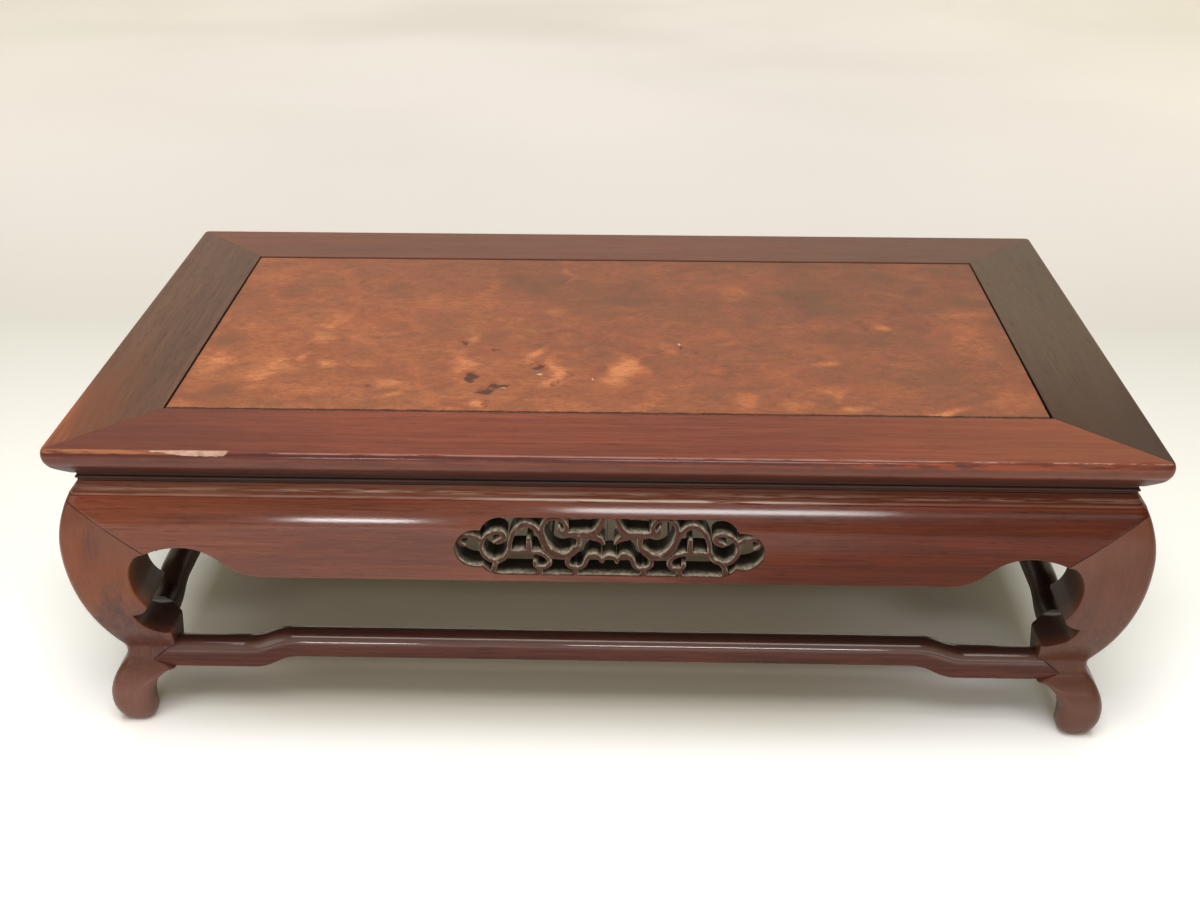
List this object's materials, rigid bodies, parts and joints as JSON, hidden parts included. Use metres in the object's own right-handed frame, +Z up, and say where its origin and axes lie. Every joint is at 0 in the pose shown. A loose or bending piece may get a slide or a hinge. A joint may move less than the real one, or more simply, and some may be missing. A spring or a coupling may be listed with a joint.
{
  "type": "low carved flower stand",
  "caption": "Low rectangular hardwood stand with a framed burl top, waisted body, carved openwork aprons, cabriole legs and hump-backed stretchers.",
  "frame": {"origin": "on the floor under the middle of the top", "axes": "+X along the length, +Y from the front to the back, +Z up"},
  "size_m": [0.5024, 0.2888, 0.158],
  "materials": {
    "rail_wood": "dark red hardwood, straight grain, semi-gloss finish",
    "end_rail_wood": "darker brown-red hardwood, straight grain across the end, semi-gloss",
    "burl_wood": "orange-brown burl with cloudy figure, satin",
    "batten_wood": "plain hardwood, unpolished underside",
    "waist_wood": "dark red hardwood, semi-gloss",
    "apron_wood": "red-brown hardwood, semi-gloss, carved opening dusty inside",
    "leg_wood": "red-brown hardwood with lighter flame, semi-gloss",
    "stretcher_wood": "dark red hardwood, semi-gloss"
  },
  "bodies": {
    "root": {"front_rail": "rail_wood", "back_rail": "rail_wood", "left_rail": "end_rail_wood", "right_rail": "end_rail_wood", "burl_panel": "burl_wood", "left_batten": "batten_wood", "right_batten": "batten_wood", "front_waist": "waist_wood", "back_waist": "waist_wood", "left_waist": "waist_wood", "right_waist": "waist_wood", "front_apron": "apron_wood", "back_apron": "apron_wood", "left_apron": "apron_wood", "right_apron": "apron_wood", "front_left_leg": "leg_wood", "front_right_leg": "leg_wood", "back_left_leg": "leg_wood", "back_right_leg": "leg_wood", "front_stretcher": "stretcher_wood", "back_stretcher": "stretcher_wood", "left_stretcher": "stretcher_wood", "right_stretcher": "stretcher_wood"}
  },
  "joints": []
}
